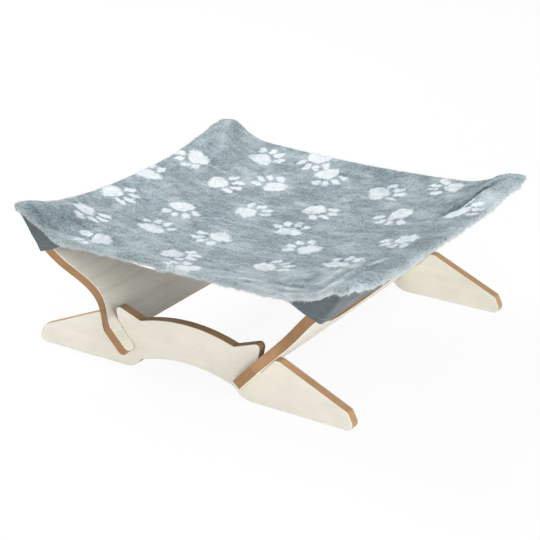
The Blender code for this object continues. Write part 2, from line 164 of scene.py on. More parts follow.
# The mouth's edge in one corner's terms, from the end hem round the horn to the side hem:
# share of the way, x, y (None on the pocket's end wall) and z
MOUTH = (
    (0.0, 0.1400, None, 0.1420), (0.25, 0.1620, None, 0.1310), (0.5, 0.1810, None, 0.1240),
    (0.62, 0.1865, 0.1900, 0.1268), (0.8, 0.1930, 0.1600, 0.1338), (1.0, 0.2080, 0.1240, 0.1450),
)
MOUTH_HEM = 0.86                # the mouth's hem starts here, from seam 0 to mouth 1
MOUTH_HEM_STEP = 0.02           # and rises over this much of the way
MOUTH_HEM_RISE = 0.0005
STITCH = 0.0026                 # length of one stitch
STITCH_PITCH = 0.0037
STITCH_RADIUS = 0.00028
STITCH_IN = 0.015               # the stitches run this much of the way below the hem's start
STITCH_LIFT = 0.4               # in radii, above the cloth
STITCH_SIDES = 6
STITCH_RINGS = (0.18, 0.5, 0.82)

SEEDS = {"clumps": 1, "pile": 2, "fray": 3, "hem radius": 5, "mottle": 6, "fine mottle": 7,
         "streaks": 8, "hem wave": 9, "tufts": 11, "hem fuzz": 20, "lining": 31, "pockets": 40}


# Heights read off the frame

FAR = 1.0                       # above or below everything in the frame


def tree_of(name):
    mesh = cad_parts[name].data
    return BVHTree.FromPolygons([v.co for v in mesh.vertices],
                                [face.vertices[:] for face in mesh.polygons])


plush_tree = tree_of("plush_sheet")
lining_tree = tree_of("sheet_lining")
wing_trees = [tree_of("left_wing"), tree_of("right_wing")]


def height(tree, x, y, from_above=True):
    """Height of a solid's top or underside over a plan point, None beside it."""
    start = FAR if from_above else -FAR
    hit = tree.ray_cast(Vector((x, y, start)), Vector((0.0, 0.0, -start)))[0]
    return None if hit is None else hit.z


def plush_height(x, y):
    return height(plush_tree, x, y)


def under_height(x, y):
    return height(lining_tree, x, y, from_above=False)


def board_top(x, y):
    """Height of a leaning board's upper side over a plan point, or far below it."""
    tops = [height(tree, x, y) for tree in wing_trees]
    return max([z for z in tops if z is not None], default=-FAR)


def over_plan(read, x, y):
    """One of these readings at every plan position of a grid or a loop."""
    return np.array([read(px, py) for px, py in zip(x.flat, y.flat)], float).reshape(x.shape)


# Smoothing and noise

def weights_of(reach):
    """Gaussian weights over that many cells, which sum to 1."""
    span = max(1, int(3 * reach))
    weights = np.exp(-0.5 * (np.arange(-span, span + 1) / reach) ** 2)
    return weights / weights.sum()


def blur(grid, reach):
    """A grid smoothed over that many cells, level with it at its borders."""
    weights = weights_of(reach)
    span = len(weights) // 2
    for axis in (0, 1):
        pads = [(0, 0), (0, 0)]
        pads[axis] = (span, span)
        padded = np.pad(grid, pads, mode="reflect", reflect_type="odd")
        grid = np.apply_along_axis(np.convolve, axis, padded, weights, mode="valid")
    return grid


def ring_blur(values, reach):
    """Values round a loop, smoothed over that many points."""
    weights = weights_of(reach)
    span = len(weights) // 2
    wrapped = np.concatenate((values[-span:], values, values[:span]))
    return np.convolve(wrapped, weights, mode="valid")


def soft_noise(shape, reach, seed):
    """Smooth random heights of about 1, with features of that many cells."""
    span = int(3 * reach) + 1
    rows, columns = shape
    noise = np.random.RandomState(seed).standard_normal((rows + 2 * span, columns + 2 * span))
    grid = blur(noise, reach)[span:-span, span:-span]
    return grid / grid.std()


def streak_noise(shape, reach, stretch, seed):
    """Smooth random heights of about 1, drawn out along x."""
    coarse = soft_noise((shape[0], shape[1] // stretch + 2), reach, seed)
    stops = np.arange(coarse.shape[1])
    at = np.linspace(0, coarse.shape[1] - 1, shape[1])
    return np.stack([np.interp(at, stops, row) for row in coarse])


def ring_noise(count, reach, seed):
    """Smooth random values of about 1 round a loop."""
    noise = ring_blur(np.random.RandomState(seed).standard_normal(count), reach)
    return noise / noise.std()


# The sheet's plan and lie

def plan_grid(cells, inset):
    """Plan positions on the sheet, drawn in between its corners. Rows run along y."""
    half_x = frame_high[0] - inset
    half_y = frame_high[1] - inset
    a, b = np.meshgrid(np.linspace(-1, 1, cells[0] + 1), np.linspace(-1, 1, cells[1] + 1))
    x = a * (half_x - SIDE_DRAW * (1 - b * b) ** 2)
    y = b * (half_y - END_DRAW * (1 - a * a) ** 2)
    draw = np.where(x < 0.0, CORNER_DRAW[0], CORNER_DRAW[1])
    tip = draw * np.exp(-((half_x - abs(x)) ** 2 + (half_y - abs(y)) ** 2) / CORNER_REACH ** 2)
    return x - np.sign(x) * tip, y - np.sign(y) * tip


# Where the sheet lies higher (above 0) or lower (below 0) than its solid: middle in plan,
# reach in x and y, and rise
LIFTS = (
    (-0.212, -0.186, 0.020, 0.026, 0.0055), (-0.216, -0.209, 0.014, 0.010, 0.0012),
    (0.158, -0.208, 0.018, 0.016, 0.0038), (0.220, -0.204, 0.013, 0.020, 0.0058),
    (0.165, 0.196, 0.026, 0.016, 0.0022), (0.206, 0.200, 0.018, 0.014, -0.0062),
    (-0.206, 0.200, 0.014, 0.012, -0.0020),
)

# Where the hem's roll is deeper (above 0) or shallower (below 0), in the same terms
DROPS = (
    (-0.179, -0.205, 0.014, 0.020, -0.0064), (-0.148, -0.205, 0.018, 0.020, 0.0024),
    (-0.202, -0.205, 0.009, 0.020, 0.0040), (-0.217, -0.208, 0.008, 0.012, -0.0030),
    (0.192, -0.205, 0.014, 0.020, 0.0020), (0.190, 0.205, 0.030, 0.020, 0.0025),
    (-0.192, 0.205, 0.026, 0.020, 0.0030),
)


def bumps(table, x, y):
    """Sum of the table's smooth bumps over plan positions."""
    total = np.zeros_like(x)
    for mid_x, mid_y, reach_x, reach_y, rise in table:
        total += rise * np.exp(-((x - mid_x) / reach_x) ** 2 - ((y - mid_y) / reach_y) ** 2)
    return total


# Each fold: the points it runs through in plan, half width, height, and for some how much
# wider it is on its left side than on its right
FOLDS = (
    # front right corner
    (((0.157, -0.182), (0.156, -0.147), (0.150, -0.122), (0.146, -0.100), (0.156, -0.078),
      (0.170, -0.058), (0.176, -0.034)), 0.0046, 0.0030, 2.0),
    (((0.167, -0.190), (0.165, -0.154), (0.160, -0.126), (0.157, -0.106), (0.170, -0.086),
      (0.184, -0.066)), 0.0042, -0.0026),
    (((0.172, -0.200), (0.174, -0.166), (0.168, -0.134), (0.173, -0.108)), 0.0036, 0.0028, 1.5),
    (((0.179, -0.202), (0.181, -0.168), (0.175, -0.138), (0.181, -0.112)), 0.0032, -0.0026),
    (((0.188, -0.200), (0.189, -0.176), (0.184, -0.150), (0.188, -0.122)), 0.0034, 0.0026, 1.4),
    (((0.195, -0.186), (0.193, -0.166), (0.190, -0.140), (0.194, -0.116)), 0.0030, -0.0026),
    (((0.208, -0.202), (0.206, -0.186), (0.202, -0.166), (0.201, -0.146)), 0.0036, 0.0026),
    (((0.040, -0.184), (0.066, -0.177), (0.089, -0.170), (0.112, -0.166)), 0.0060, 0.0020, 0.7),
    (((0.090, -0.184), (0.117, -0.180), (0.138, -0.184), (0.156, -0.182)), 0.0050, 0.0018, 0.8),
    (((0.090, -0.172), (0.117, -0.171), (0.140, -0.170), (0.153, -0.156)), 0.0060, -0.0018),
    (((0.100, -0.150), (0.120, -0.140), (0.132, -0.118), (0.134, -0.096)), 0.0080, 0.0016, 1.4),
    # front left corner
    (((-0.182, -0.206), (-0.155, -0.184), (-0.120, -0.175), (-0.092, -0.170)), 0.0080, -0.0042),
    (((-0.198, -0.182), (-0.170, -0.158), (-0.140, -0.140)), 0.0100, 0.0024),
    (((-0.203, -0.160), (-0.190, -0.120), (-0.186, -0.070)), 0.0080, -0.0028),
    # back right corner
    (((0.199, 0.196), (0.193, 0.174), (0.188, 0.154), (0.184, 0.138), (0.174, 0.127),
      (0.162, 0.108), (0.156, 0.084)), 0.0044, -0.0075),
    (((0.208, 0.192), (0.203, 0.166), (0.198, 0.142), (0.190, 0.116), (0.187, 0.084)),
     0.0070, 0.0036),
    (((0.188, 0.198), (0.160, 0.186), (0.128, 0.172), (0.100, 0.166)), 0.0070, 0.0030, 1.4),
    (((0.150, 0.120), (0.140, 0.086), (0.122, 0.050)), 0.0090, -0.0020),
    # back left corner
    (((-0.199, 0.186), (-0.176, 0.160), (-0.166, 0.134), (-0.150, 0.112)), 0.0070, 0.0045, 1.5),
    (((-0.187, 0.198), (-0.150, 0.186), (-0.112, 0.164)), 0.0070, 0.0030, 1.4),
    (((-0.204, 0.162), (-0.190, 0.120), (-0.184, 0.076)), 0.0080, -0.0034),
)
FOLD_STEPS = 48
FOLD_SLIM = 0.75                # share of its half width that a fold has where it starts
FOLD_SPREAD = 0.6               # and how much that grows up to its end
FOLD_FADE = 0.7                 # below 1 keeps more of its height near its ends


def smooth_path(stops):
    """Evenly stepped points of a smooth curve through the stops, and their directions."""
    stops = np.array(stops)
    ends = np.vstack((2 * stops[0] - stops[1], stops, 2 * stops[-1] - stops[-2]))
    at = np.linspace(0.0, len(stops) - 1.0001, FOLD_STEPS)      # just short of the last stop
    k = at.astype(int)
    t = (at - k)[:, None]
    a, b, c, d = (ends[k + step] for step in range(4))
    path = 0.5 * (2 * b + (c - a) * t + (2 * a - 5 * b + 4 * c - d) * t ** 2
                  + (3 * b - a - 3 * c + d) * t ** 3)
    ways = np.gradient(path, axis=0)
    return path, ways / np.linalg.norm(ways, axis=1)[:, None]


def ridges(table, x, y):
    """Sum of the table's ridges over plan positions."""
    total = np.zeros_like(x)
    for stops, width, rise, *skew in table:
        left = skew[0] if skew else 1.0
        path, ways = smooth_path(stops)
        gap_x = x[..., None] - path[:, 0]
        gap_y = y[..., None] - path[:, 1]
        near = np.argmin(gap_x ** 2 + gap_y ** 2, axis=-1)
        off_x = np.take_along_axis(gap_x, near[..., None], -1)[..., 0]
        off_y = np.take_along_axis(gap_y, near[..., None], -1)[..., 0]
        side = ways[near, 0] * off_y - ways[near, 1] * off_x
        inside = near / (FOLD_STEPS - 1)
        spread = width * (FOLD_SLIM + FOLD_SPREAD * inside) * np.where(side > 0.0, left, 1.0)
        window = np.sin(math.pi * inside) ** FOLD_FADE
        total += rise * window * np.exp(-(off_x ** 2 + off_y ** 2) / spread ** 2)
    return total


# Painted light and shade on the pile, with its nap's own mottling

# Where painted light (above 0) or painted shade (below 0) lies on the pile, over its crests, hems
# and creases, in the terms of LIFTS
PAINTED_LIGHT_PATCHES = (
    (0.100, -0.170, 0.090, 0.050, 0.34), (0.160, -0.120, 0.040, 0.040, 0.10),
    (-0.184, -0.176, 0.010, 0.012, 0.30), (-0.210, -0.160, 0.006, 0.050, 0.30),
    (0.186, -0.096, 0.014, 0.026, -0.55), (0.213, -0.184, 0.006, 0.008, 0.70),
)

# Painted highlights (above 0) and painted shade (below 0) along the pile's crests and creases, in
# the terms of FOLDS
PAINTED_LIGHT_STROKES = (
    # front right corner
    (((0.162, -0.172), (0.155, -0.152), (0.156, -0.137), (0.151, -0.118), (0.149, -0.104),
      (0.151, -0.093), (0.155, -0.084), (0.163, -0.077)), 0.0034, 1.15),
    (((0.160, -0.078), (0.164, -0.076), (0.170, -0.069), (0.174, -0.061), (0.179, -0.048)),
     0.0028, 1.00),
    (((0.158, -0.074), (0.163, -0.071), (0.170, -0.058), (0.168, -0.036)), 0.0030, -0.45),
    (((0.176, -0.196), (0.176, -0.170), (0.170, -0.140), (0.163, -0.108)), 0.0050, -0.85),
    (((0.180, -0.208), (0.188, -0.205), (0.197, -0.203), (0.198, -0.192), (0.194, -0.180),
      (0.192, -0.160)), 0.0034, 1.20),
    (((0.206, -0.212), (0.211, -0.207), (0.212, -0.196)), 0.0024, 0.25),
    (((0.203, -0.178), (0.202, -0.156), (0.200, -0.132)), 0.0080, -0.80),
    (((0.214, -0.140), (0.212, -0.104), (0.211, -0.073), (0.207, -0.030)), 0.0044, 0.35),
    (((0.193, -0.080), (0.193, -0.048), (0.188, -0.016), (0.179, 0.030)), 0.0070, -0.25),
    # along the front hem
    (((0.052, -0.188), (0.070, -0.182), (0.081, -0.179), (0.098, -0.175)), 0.0026, 1.10),
    (((0.098, -0.184), (0.121, -0.184), (0.140, -0.186), (0.162, -0.184)), 0.0026, 1.00),
    (((0.112, -0.144), (0.131, -0.132), (0.141, -0.112)), 0.0060, 0.25),
    (((0.115, -0.202), (0.147, -0.206), (0.171, -0.209), (0.190, -0.210)), 0.0032, 0.60),
    (((0.094, -0.172), (0.116, -0.167), (0.135, -0.167), (0.158, -0.169)), 0.0032, -0.75),
    (((0.060, -0.196), (0.080, -0.189), (0.104, -0.190)), 0.0034, -0.65),
    (((0.104, -0.156), (0.127, -0.155), (0.144, -0.148)), 0.0032, -0.60),
    # front left corner
    (((-0.196, -0.207), (-0.185, -0.198), (-0.179, -0.188), (-0.174, -0.178), (-0.166, -0.170),
      (-0.157, -0.165), (-0.136, -0.158)), 0.0105, -0.95),
    (((-0.186, -0.168), (-0.178, -0.158), (-0.160, -0.150)), 0.0060, -0.40),
    (((-0.188, -0.210), (-0.175, -0.203), (-0.163, -0.199), (-0.142, -0.203)), 0.0040, 0.20),
    # back right corner
    (((0.200, 0.188), (0.190, 0.168), (0.181, 0.145), (0.167, 0.138), (0.156, 0.120)),
     0.0050, -0.45),
    (((0.212, 0.186), (0.208, 0.142), (0.201, 0.117), (0.187, 0.086)), 0.0070, 0.20),
)
MOTTLE = 0.16                   # strength and size of the nap's mottling
MOTTLE_CELLS = 5.0
FINE_MOTTLE = 0.10
FINE_MOTTLE_CELLS = 2.4
STREAKS = 0.09                  # strength and size of its streaks, and how far they are drawn out
STREAK_CELLS = 2.0
STREAK_STRETCH = 6
PAINTED_HIGHLIGHT_STRENGTH = 0.75                # how strongly the painted highlights and the painted shade show in the colour
PAINTED_SHADE_STRENGTH = 0.70


def light_and_nap_of(x, y):
    """Painted light and shade on the pile at plan positions, about -1 to 1: painted highlights and
    painted shade from the patches and strokes, with the pile's own mottling and streaks.
    """
    mottle = MOTTLE * soft_noise(x.shape, MOTTLE_CELLS, SEEDS["mottle"])
    fine = FINE_MOTTLE * soft_noise(x.shape, FINE_MOTTLE_CELLS, SEEDS["fine mottle"])
    streaks = STREAKS * streak_noise(x.shape, STREAK_CELLS, STREAK_STRETCH, SEEDS["streaks"])
    return bumps(PAINTED_LIGHT_PATCHES, x, y) + ridges(PAINTED_LIGHT_STROKES, x, y) + mottle + fine + streaks


# Paw prints

# Each print: middle of its pad in plan and the way its toes point in degrees. Some are drawn
# out that way by a share, and have a pad that is longer and slimmer by another.
PRINTS = (
    (-0.184, -0.127, 346, 1.25, 1.0), (-0.195, -0.056, 18), (-0.121, -0.173, 222),
    (-0.198, 0.018, 130), (0.063, -0.122, 45), (0.071, -0.045, 160), (0.131, -0.084, 75),
    (0.112, 0.090, 254, 1.0, 1.4), (0.162, 0.013, 245, 1.0, 1.2), (0.180, 0.101, 32, 1.0, 1.3),
    (0.136, 0.182, 190), (-0.105, -0.100, 95), (-0.040, -0.150, 15), (-0.120, -0.020, 300),
    (-0.035, -0.065, 230), (-0.055, 0.020, 60), (0.010, 0.070, 340), (0.020, -0.005, 110),
    (-0.130, 0.070, 20), (-0.185, 0.105, 250), (-0.070, 0.105, 150), (-0.125, 0.160, 70),
    (-0.030, 0.165, 310), (0.055, 0.145, 25), (0.010, -0.190, 175), (-0.060, 0.196, 275),
)
PAD = (0.0122, 0.0154)          # half length of the pad towards its toes, and half width
PAD_TAPER = 0.25                # the pad narrows by this share towards its toes
TOE = (0.0077, 0.0045)          # half length and half width of a toe
# Each toe: how far ahead of the pad's middle and to its side, and its turn in degrees
TOES = ((0.0155, -0.0168, -28), (0.0240, -0.0062, -9), (0.0240, 0.0062, 9), (0.0155, 0.0168, 28))
PRINT_EDGE = 0.18               # softness of a print's edge, as a share of its size


def oval(x, y, half):
    """1 inside an oval at the origin, 0 outside, with a soft edge."""
    far = np.sqrt((x / half[0]) ** 2 + (y / half[1]) ** 2)
    return np.clip((1.0 - far) / PRINT_EDGE + 0.5, 0.0, 1.0)


def turned_into(x, y, degrees):
    """Plan distances along a heading and to its left."""
    c, s = math.cos(math.radians(degrees)), math.sin(math.radians(degrees))
    return x * c + y * s, y * c - x * s


def print_mask(x, y):
    """How much of the off-white print shows at each plan position."""
    mask = np.zeros_like(x)
    for px, py, heading, *shape in PRINTS:
        length, slim = shape or (1.0, 1.0)
        fore, side = turned_into(x - px, y - py, heading)
        fore /= length
        narrow = (1.0 - PAD_TAPER * np.clip(fore / PAD[0], -1.0, 1.0)) / slim
        mask = np.maximum(mask, oval(fore / slim, side / narrow, PAD))
        for toe_fore, toe_side, toe_turn in TOES:
            toe = turned_into(fore - toe_fore, side - toe_side, toe_turn)
            mask = np.maximum(mask, oval(*toe, TOE))
    return mask


# Meshes

def add_piece(name, mesh, finish, replaced=()):
    mesh.materials.append(finish)
    piece = bpy.data.objects.new(name, mesh)
    bpy.context.scene.collection.objects.link(piece)
    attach(piece, "root")
    if replaced:
        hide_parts(*replaced)
    return piece


def add_wall(piece, thickness, offset):
    wall = piece.modifiers.new("wall", "SOLIDIFY")
    wall.thickness = thickness
    wall.offset = offset


def mesh_from(name, points, faces, values=None):
    """A smooth mesh, with named values for each point."""
    mesh = bpy.data.meshes.new(name)
    mesh.from_pydata([tuple(p) for p in points], [], faces)
    for key, numbers in (values or {}).items():
        layer = mesh.attributes.new(key, "FLOAT", "POINT")
        layer.data.foreach_set("value", np.asarray(numbers, np.float32))
    mesh.shade_smooth()
    mesh.validate()
    return mesh


def grid_faces(rows, columns):
    return [(j * columns + i, j * columns + i + 1, (j + 1) * columns + i + 1, (j + 1) * columns + i)
            for j in range(rows - 1) for i in range(columns - 1)]


def ring_faces(start, first, rings):
    """Faces from a loop of points to each ring of new points in turn."""
    faces = []
    before = start
    for ring in range(rings):
        now = [first + ring * len(start) + k for k in range(len(start))]
        for k in range(len(start)):
            n = (k + 1) % len(start)
            faces.append((before[n], before[k], now[k], now[n]))
        before = now
    return faces


def rim_indices(rows, columns):
    """The outer points of a grid, once round, as a counter-clockwise loop."""
    first = [(0, i) for i in range(columns)]
    right = [(j, columns - 1) for j in range(1, rows)]
    last = [(rows - 1, i) for i in range(columns - 2, -1, -1)]
    left = [(j, 0) for j in range(rows - 2, 0, -1)]
    return first + right + last + left


# Plush sheet

def outward_round(loop, rows, columns):
    """Plan direction out of the sheet at each rim point, turning softly at the corners."""
    flat = np.array([((i == columns - 1) * 1.0 - (i == 0) * 1.0,
                      (j == rows - 1) * 1.0 - (j == 0) * 1.0) for j, i in loop])
    out = np.stack([ring_blur(flat[:, k], TURN_BLUR) for k in (0, 1)], axis=1)
    return out / np.linalg.norm(out, axis=1)[:, None]


def top_grid():
    """The plush's top: plan positions and heights, with folds but without its pile."""
    x, y = plan_grid(PLUSH_CELLS, HEM_REACH)
    cell = 2 * frame_high[0] / PLUSH_CELLS[0]
    z = blur(over_plan(plush_height, x, y), SMOOTHING / cell)
    return x, y, z + bumps(LIFTS, x, y) + ridges(FOLDS, x, y)


def rolled_rings(base, out):
    """Points of the hem's roll, ring after ring outwards and down from the base points."""
    plan = base[:, 0], base[:, 1]
    count = len(base)
    low = over_plan(under_height, *plan) + bumps(LIFTS, *plan)
    drop = bumps(DROPS, *plan)
    radius = ring_blur((base[:, 2] - low + drop) / 2 - HEM_SLIM, HEM_BLUR)
    radius *= 1.0 + HEM_UNEVEN * ring_noise(count, UNEVEN_POINTS, SEEDS["hem radius"])
    wave = np.clip(ring_noise(count, WAVE_POINTS, SEEDS["hem wave"]), *WAVE_LIMITS)
    reach = HEM_REACH + HEM_WAVE * wave
    rings = []
    for k in range(1, HEM_RINGS + 1):
        turn = HEM_TURN * k / HEM_RINGS
        fuzz = HEM_FUZZ * np.random.RandomState(SEEDS["hem fuzz"] + k).standard_normal(count)
        ring = base.copy()
        ring[:, :2] += out * (reach * math.sin(min(turn, math.pi)) + fuzz)[:, None]
        ring[:, 2] -= radius * (1.0 - math.cos(turn)) + FUZZ_RISE * fuzz
        rings.append(ring)
    return rings


def under_rings(base, out):
    """Points of the hem's edge, turned in below the lining and clear of the boards."""
    rings = []
    for share in UNDER_SHARES:
        ring = base.copy()
        ring[:, :2] -= out * HEM_UNDER * share
        plan = ring[:, 0], ring[:, 1]
        low = over_plan(under_height, *plan) + UNDER_RISE
        low += bumps(LIFTS, *plan) + LINING_FOLD * ridges(FOLDS, *plan)
        ring[:, 2] = np.maximum(low, over_plan(board_top, *plan) + BOARD_CLEAR / 2)
        rings.append(ring)
    return rings


def pile_of(rows, columns):
    """Heights of the pile over the sheet's top, which fade towards the hem."""
    pile = CLUMP * soft_noise((rows, columns), CLUMP_CELLS, SEEDS["clumps"])
    pile += PILE * soft_noise((rows, columns), PILE_CELLS, SEEDS["pile"])
    across = np.minimum(np.arange(columns), np.arange(columns)[::-1])
    along_it = np.minimum(np.arange(rows), np.arange(rows)[::-1])
    edge_far = np.minimum(across[None, :], along_it[:, None])
    return pile * np.clip(PILE_AT_HEM + edge_far / PILE_FADE, 0.0, 1.0)


def hem_painted_sheen(ring):
    """How much painted sheen pales the pile on one of the hem's rings, counted from 1."""
    share = ring / HEM_RINGS
    return min(max(SHEEN_RISE * share - SHEEN_START, 0.0), 1.0) if share <= 1.0 else UNDER_SHEEN


def add_plush(finish):
    """The sheet's top and hem as one mesh. Gives the roll's rings and their way out too."""
    x, y, z = top_grid()
    rows, columns = x.shape
    loop = rim_indices(rows, columns)
    out = outward_round(loop, rows, columns)
    start = [j * columns + i for j, i in loop]
    base = np.stack((x, y, z), axis=2).reshape(-1, 3)[start]
    rolled = rolled_rings(base, out)
    rings = rolled + under_rings(base, out)
    points = np.stack((x, y, z + pile_of(rows, columns)), axis=2).reshape(-1, 3)
    fray = PRINT_FRAY * soft_noise(x.shape, FRAY_CELLS, SEEDS["fray"])
    prints = print_mask(x + fray, y + fray[::-1]).reshape(-1)
    # painted light and shade over the folds, with the pile's own mottling
    light_and_nap = light_and_nap_of(x, y).reshape(-1)
    # painted sheen on the hem's roll, stored as the rim value
    painted_sheen = [np.full(len(loop), hem_painted_sheen(k + 1)) for k in range(len(rings))]
    values = {
        "print": np.concatenate([prints] + [prints[start] * HEM_PRINT] * len(rings)),
        "rim": np.concatenate([np.zeros(len(points))] + painted_sheen),
        "light_and_nap": np.concatenate([light_and_nap] + [light_and_nap[start]] * len(rings)),
    }
    faces = grid_faces(rows, columns) + ring_faces(start, len(points), len(rings))
    mesh = mesh_from("plush", np.concatenate([points] + rings), faces, values)
    return add_piece("plush_top", mesh, finish, ["plush_sheet"]), rolled, out


def add_tuft(points, faces, base, axis, length):
    """Adds one closed three-sided tuft."""
    side = axis.orthogonal().normalized()
    across = axis.cross(side).normalized()
    start = len(points)
    for k in range(3):
        turn = 2 * math.pi * k / 3
        points.append(base + (side * math.cos(turn) + across * math.sin(turn)) * TUFT_WIDTH)
    points.append(base + axis * length)
    for k in range(3):
        faces.append((start + k, start + (k + 1) % 3, start + 3))
    faces.append((start + 2, start + 1, start))


def add_hem_tufts(finish, rings, out):
    """Short tufts of pile that stick out of the rolled hem."""
    rng = np.random.RandomState(SEEDS["tufts"])
    points, faces = [], []
    count = len(out)
    for _ in range(TUFTS):
        k = rng.randint(1, HEM_RINGS - 1)
        i = rng.randint(count)
        base = Vector(rings[k][i]).lerp(Vector(rings[k][(i + 1) % count]), rng.rand())
        turn = HEM_TURN * (k + 1) / HEM_RINGS
        axis = Vector((out[i][0] * math.sin(turn), out[i][1] * math.sin(turn), math.cos(turn)))
        axis += Vector(rng.standard_normal(3) * TUFT_STRAY) - Vector((0.0, 0.0, TUFT_DROOP))
        axis.normalize()
        length = min(TUFT_SHORT + TUFT_MORE * rng.exponential(), TUFT_LONG)
        add_tuft(points, faces, base - axis * TUFT_ROOT, axis, length)
    # the tufts take the rim's full painted sheen
    values = {"print": np.zeros(len(points)), "rim": np.ones(len(points))}
    mesh = mesh_from("tufts", points, faces, values)
    return add_piece("hem_tufts", mesh, finish)


# Lining

def add_lining(finish):
    x, y = plan_grid(LINING_CELLS, LINING_INSET)
    cell = 2 * frame_high[0] / LINING_CELLS[0]
    z = blur(over_plan(under_height, x, y), SMOOTHING / cell) + LINING_RISE
    z += bumps(LIFTS, x, y) + LINING_FOLD * ridges(FOLDS, x, y)
    z += LINING_RIPPLE * soft_noise(x.shape, RIPPLE_CELLS, SEEDS["lining"])
    z = np.maximum(z, over_plan(board_top, x, y) + BOARD_CLEAR)
    points = np.stack((x, y, z), axis=2).reshape(-1, 3)
    mesh = mesh_from("lining", points, grid_faces(*x.shape))
    piece = add_piece("lining", mesh, finish, ["sheet_lining"])
    add_wall(piece, LINING_THICK, 1.0)
    return piece


# Pockets

def seam_point(x, y, side_x, side_y):
    """A point of a pocket's seam, up inside the hem, in the +x +y corner's terms."""
    near = 2 * POCKET_WALL
    spots = ((x - near, y), (x + near, y), (x, y), (x, y + near))
    found = [under_height(px * side_x, py * side_y) for px, py in spots]
    place = np.array(x * side_x), np.array(y * side_y)
    lift = float(bumps(LIFTS, *place)) - float(bumps(DROPS, *place))
    return Vector((x, y, min(z for z in found if z is not None) + lift + POCKET_TUCK))


def along(stops, share):
    """Point at a share along straight runs between (share, point) stops."""
    for (a, p), (b, q) in zip(stops, stops[1:]):
        if share <= b:
            return p.lerp(q, (share - a) / (b - a))
    return stops[-1][1]


def side_hem_x(y, ridge_y):
    share = min(abs(y) / ridge_y, 1.0)
    return frame_high[0] - SIDE_DRAW * (1.0 - share * share) ** 2


def pocket_grid(node, side_x, side_y):
    """Points of a pocket from its seam to its mouth, mirrored into the +x +y corner."""
    low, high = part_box(node)
    corner_x = max(abs(low.x), abs(high.x)) - POCKET_WALL
    wall_y = max(abs(low.y), abs(high.y)) - POCKET_WALL
    stops = [(share, Vector((x, wall_y if y is None else y, z))) for share, x, y, z in MOUTH]
    start_x = stops[0][1].x
    end_y = stops[-1][1].y
    inset = frame_high[0] - corner_x
    grid = np.zeros((POCKET_ROWS + 1, POCKET_COLUMNS + 1, 3))
    for i in range(POCKET_COLUMNS + 1):
        share = i / POCKET_COLUMNS
        if share <= 0.5:
            x, y = start_x + (corner_x - start_x) * share * 2, wall_y
        else:
            y = wall_y + (end_y - wall_y) * (share * 2 - 1)
            x = side_hem_x(y, wall_y) - inset
        seam = seam_point(x, y, side_x, side_y)
        mouth = along(stops, share)
        mouth.z = min(mouth.z, seam.z - POCKET_FALL)
        for j in range(POCKET_ROWS + 1):
            grid[j, i] = seam.lerp(mouth, j / POCKET_ROWS)
    return grid


def outward_of(grid):
    """Unit directions out of a grid in the +x +y corner."""
    out = np.cross(np.gradient(grid, axis=1), np.gradient(grid, axis=0))
    out /= np.maximum(np.linalg.norm(out, axis=2, keepdims=True), 1e-9)
    return -out if (out[:, :, 0] + out[:, :, 1]).sum() < 0 else out


def pocket_cloth(node, side_x, side_y, seed):
    """The pocket's cloth: bent softly round the horn, creased, with a hem at its mouth."""
    grid = pocket_grid(node, side_x, side_y)
    out = outward_of(grid)
    smooth = np.stack([blur(grid[:, :, k], POCKET_BLUR) for k in range(3)], axis=2)
    share = np.linspace(0, 1, POCKET_ROWS + 1)[:, None]
    crease = CREASE * soft_noise(grid.shape[:2], CREASE_CELLS, seed) * np.sin(math.pi * share)
    hem = MOUTH_HEM_RISE * np.clip((share - MOUTH_HEM) / MOUTH_HEM_STEP, 0, 1)
    lift = POCKET_LIFT + np.maximum(crease, -CREASE_IN) + hem
    return smooth + out * lift[:, :, None], out


def add_stitch(points, faces, first, last, out):
    """A short, slightly arched thread with pointed ends that go into the cloth."""
    axis = (last - first).normalized()
    side = axis.cross(out).normalized()
    up = side.cross(axis)
    start = len(points)
    points.append(first - up * STITCH_RADIUS)
    for share in STITCH_RINGS:
        middle = first.lerp(last, share) + up * STITCH_RADIUS * math.sin(math.pi * share)
        for k in range(STITCH_SIDES):
            turn = 2 * math.pi * k / STITCH_SIDES
            points.append(middle + (side * math.cos(turn) + up * math.sin(turn)) * STITCH_RADIUS)
    points.append(last - up * STITCH_RADIUS)
    tip = len(points) - 1
    last_ring = tip - STITCH_SIDES
    for k in range(STITCH_SIDES):
        n = (k + 1) % STITCH_SIDES
        faces.append((start, start + 1 + n, start + 1 + k))
        for a in range(start + 1, last_ring, STITCH_SIDES):
            faces.append((a + k, a + n, a + STITCH_SIDES + n, a + STITCH_SIDES + k))
        faces.append((last_ring + k, last_ring + n, tip))


def stitch_mesh(spots, out):
    """One mesh of all stitches along a run of points with their outward directions."""
    points, faces = [], []
    steps = np.linalg.norm(np.diff(spots, axis=0), axis=1)
    walked = np.concatenate(([0.0], np.cumsum(steps)))
    for start in np.arange(STITCH_PITCH, walked[-1] - STITCH_PITCH, STITCH_PITCH):
        first, last = (Vector([np.interp(at, walked, spots[:, k]) for k in range(3)])
                       for at in (start, start + STITCH))
        rise = Vector([np.interp(start, walked, out[:, k]) for k in range(3)])
        add_stitch(points, faces, first, last, rise)
    return mesh_from("stitches", points, faces)


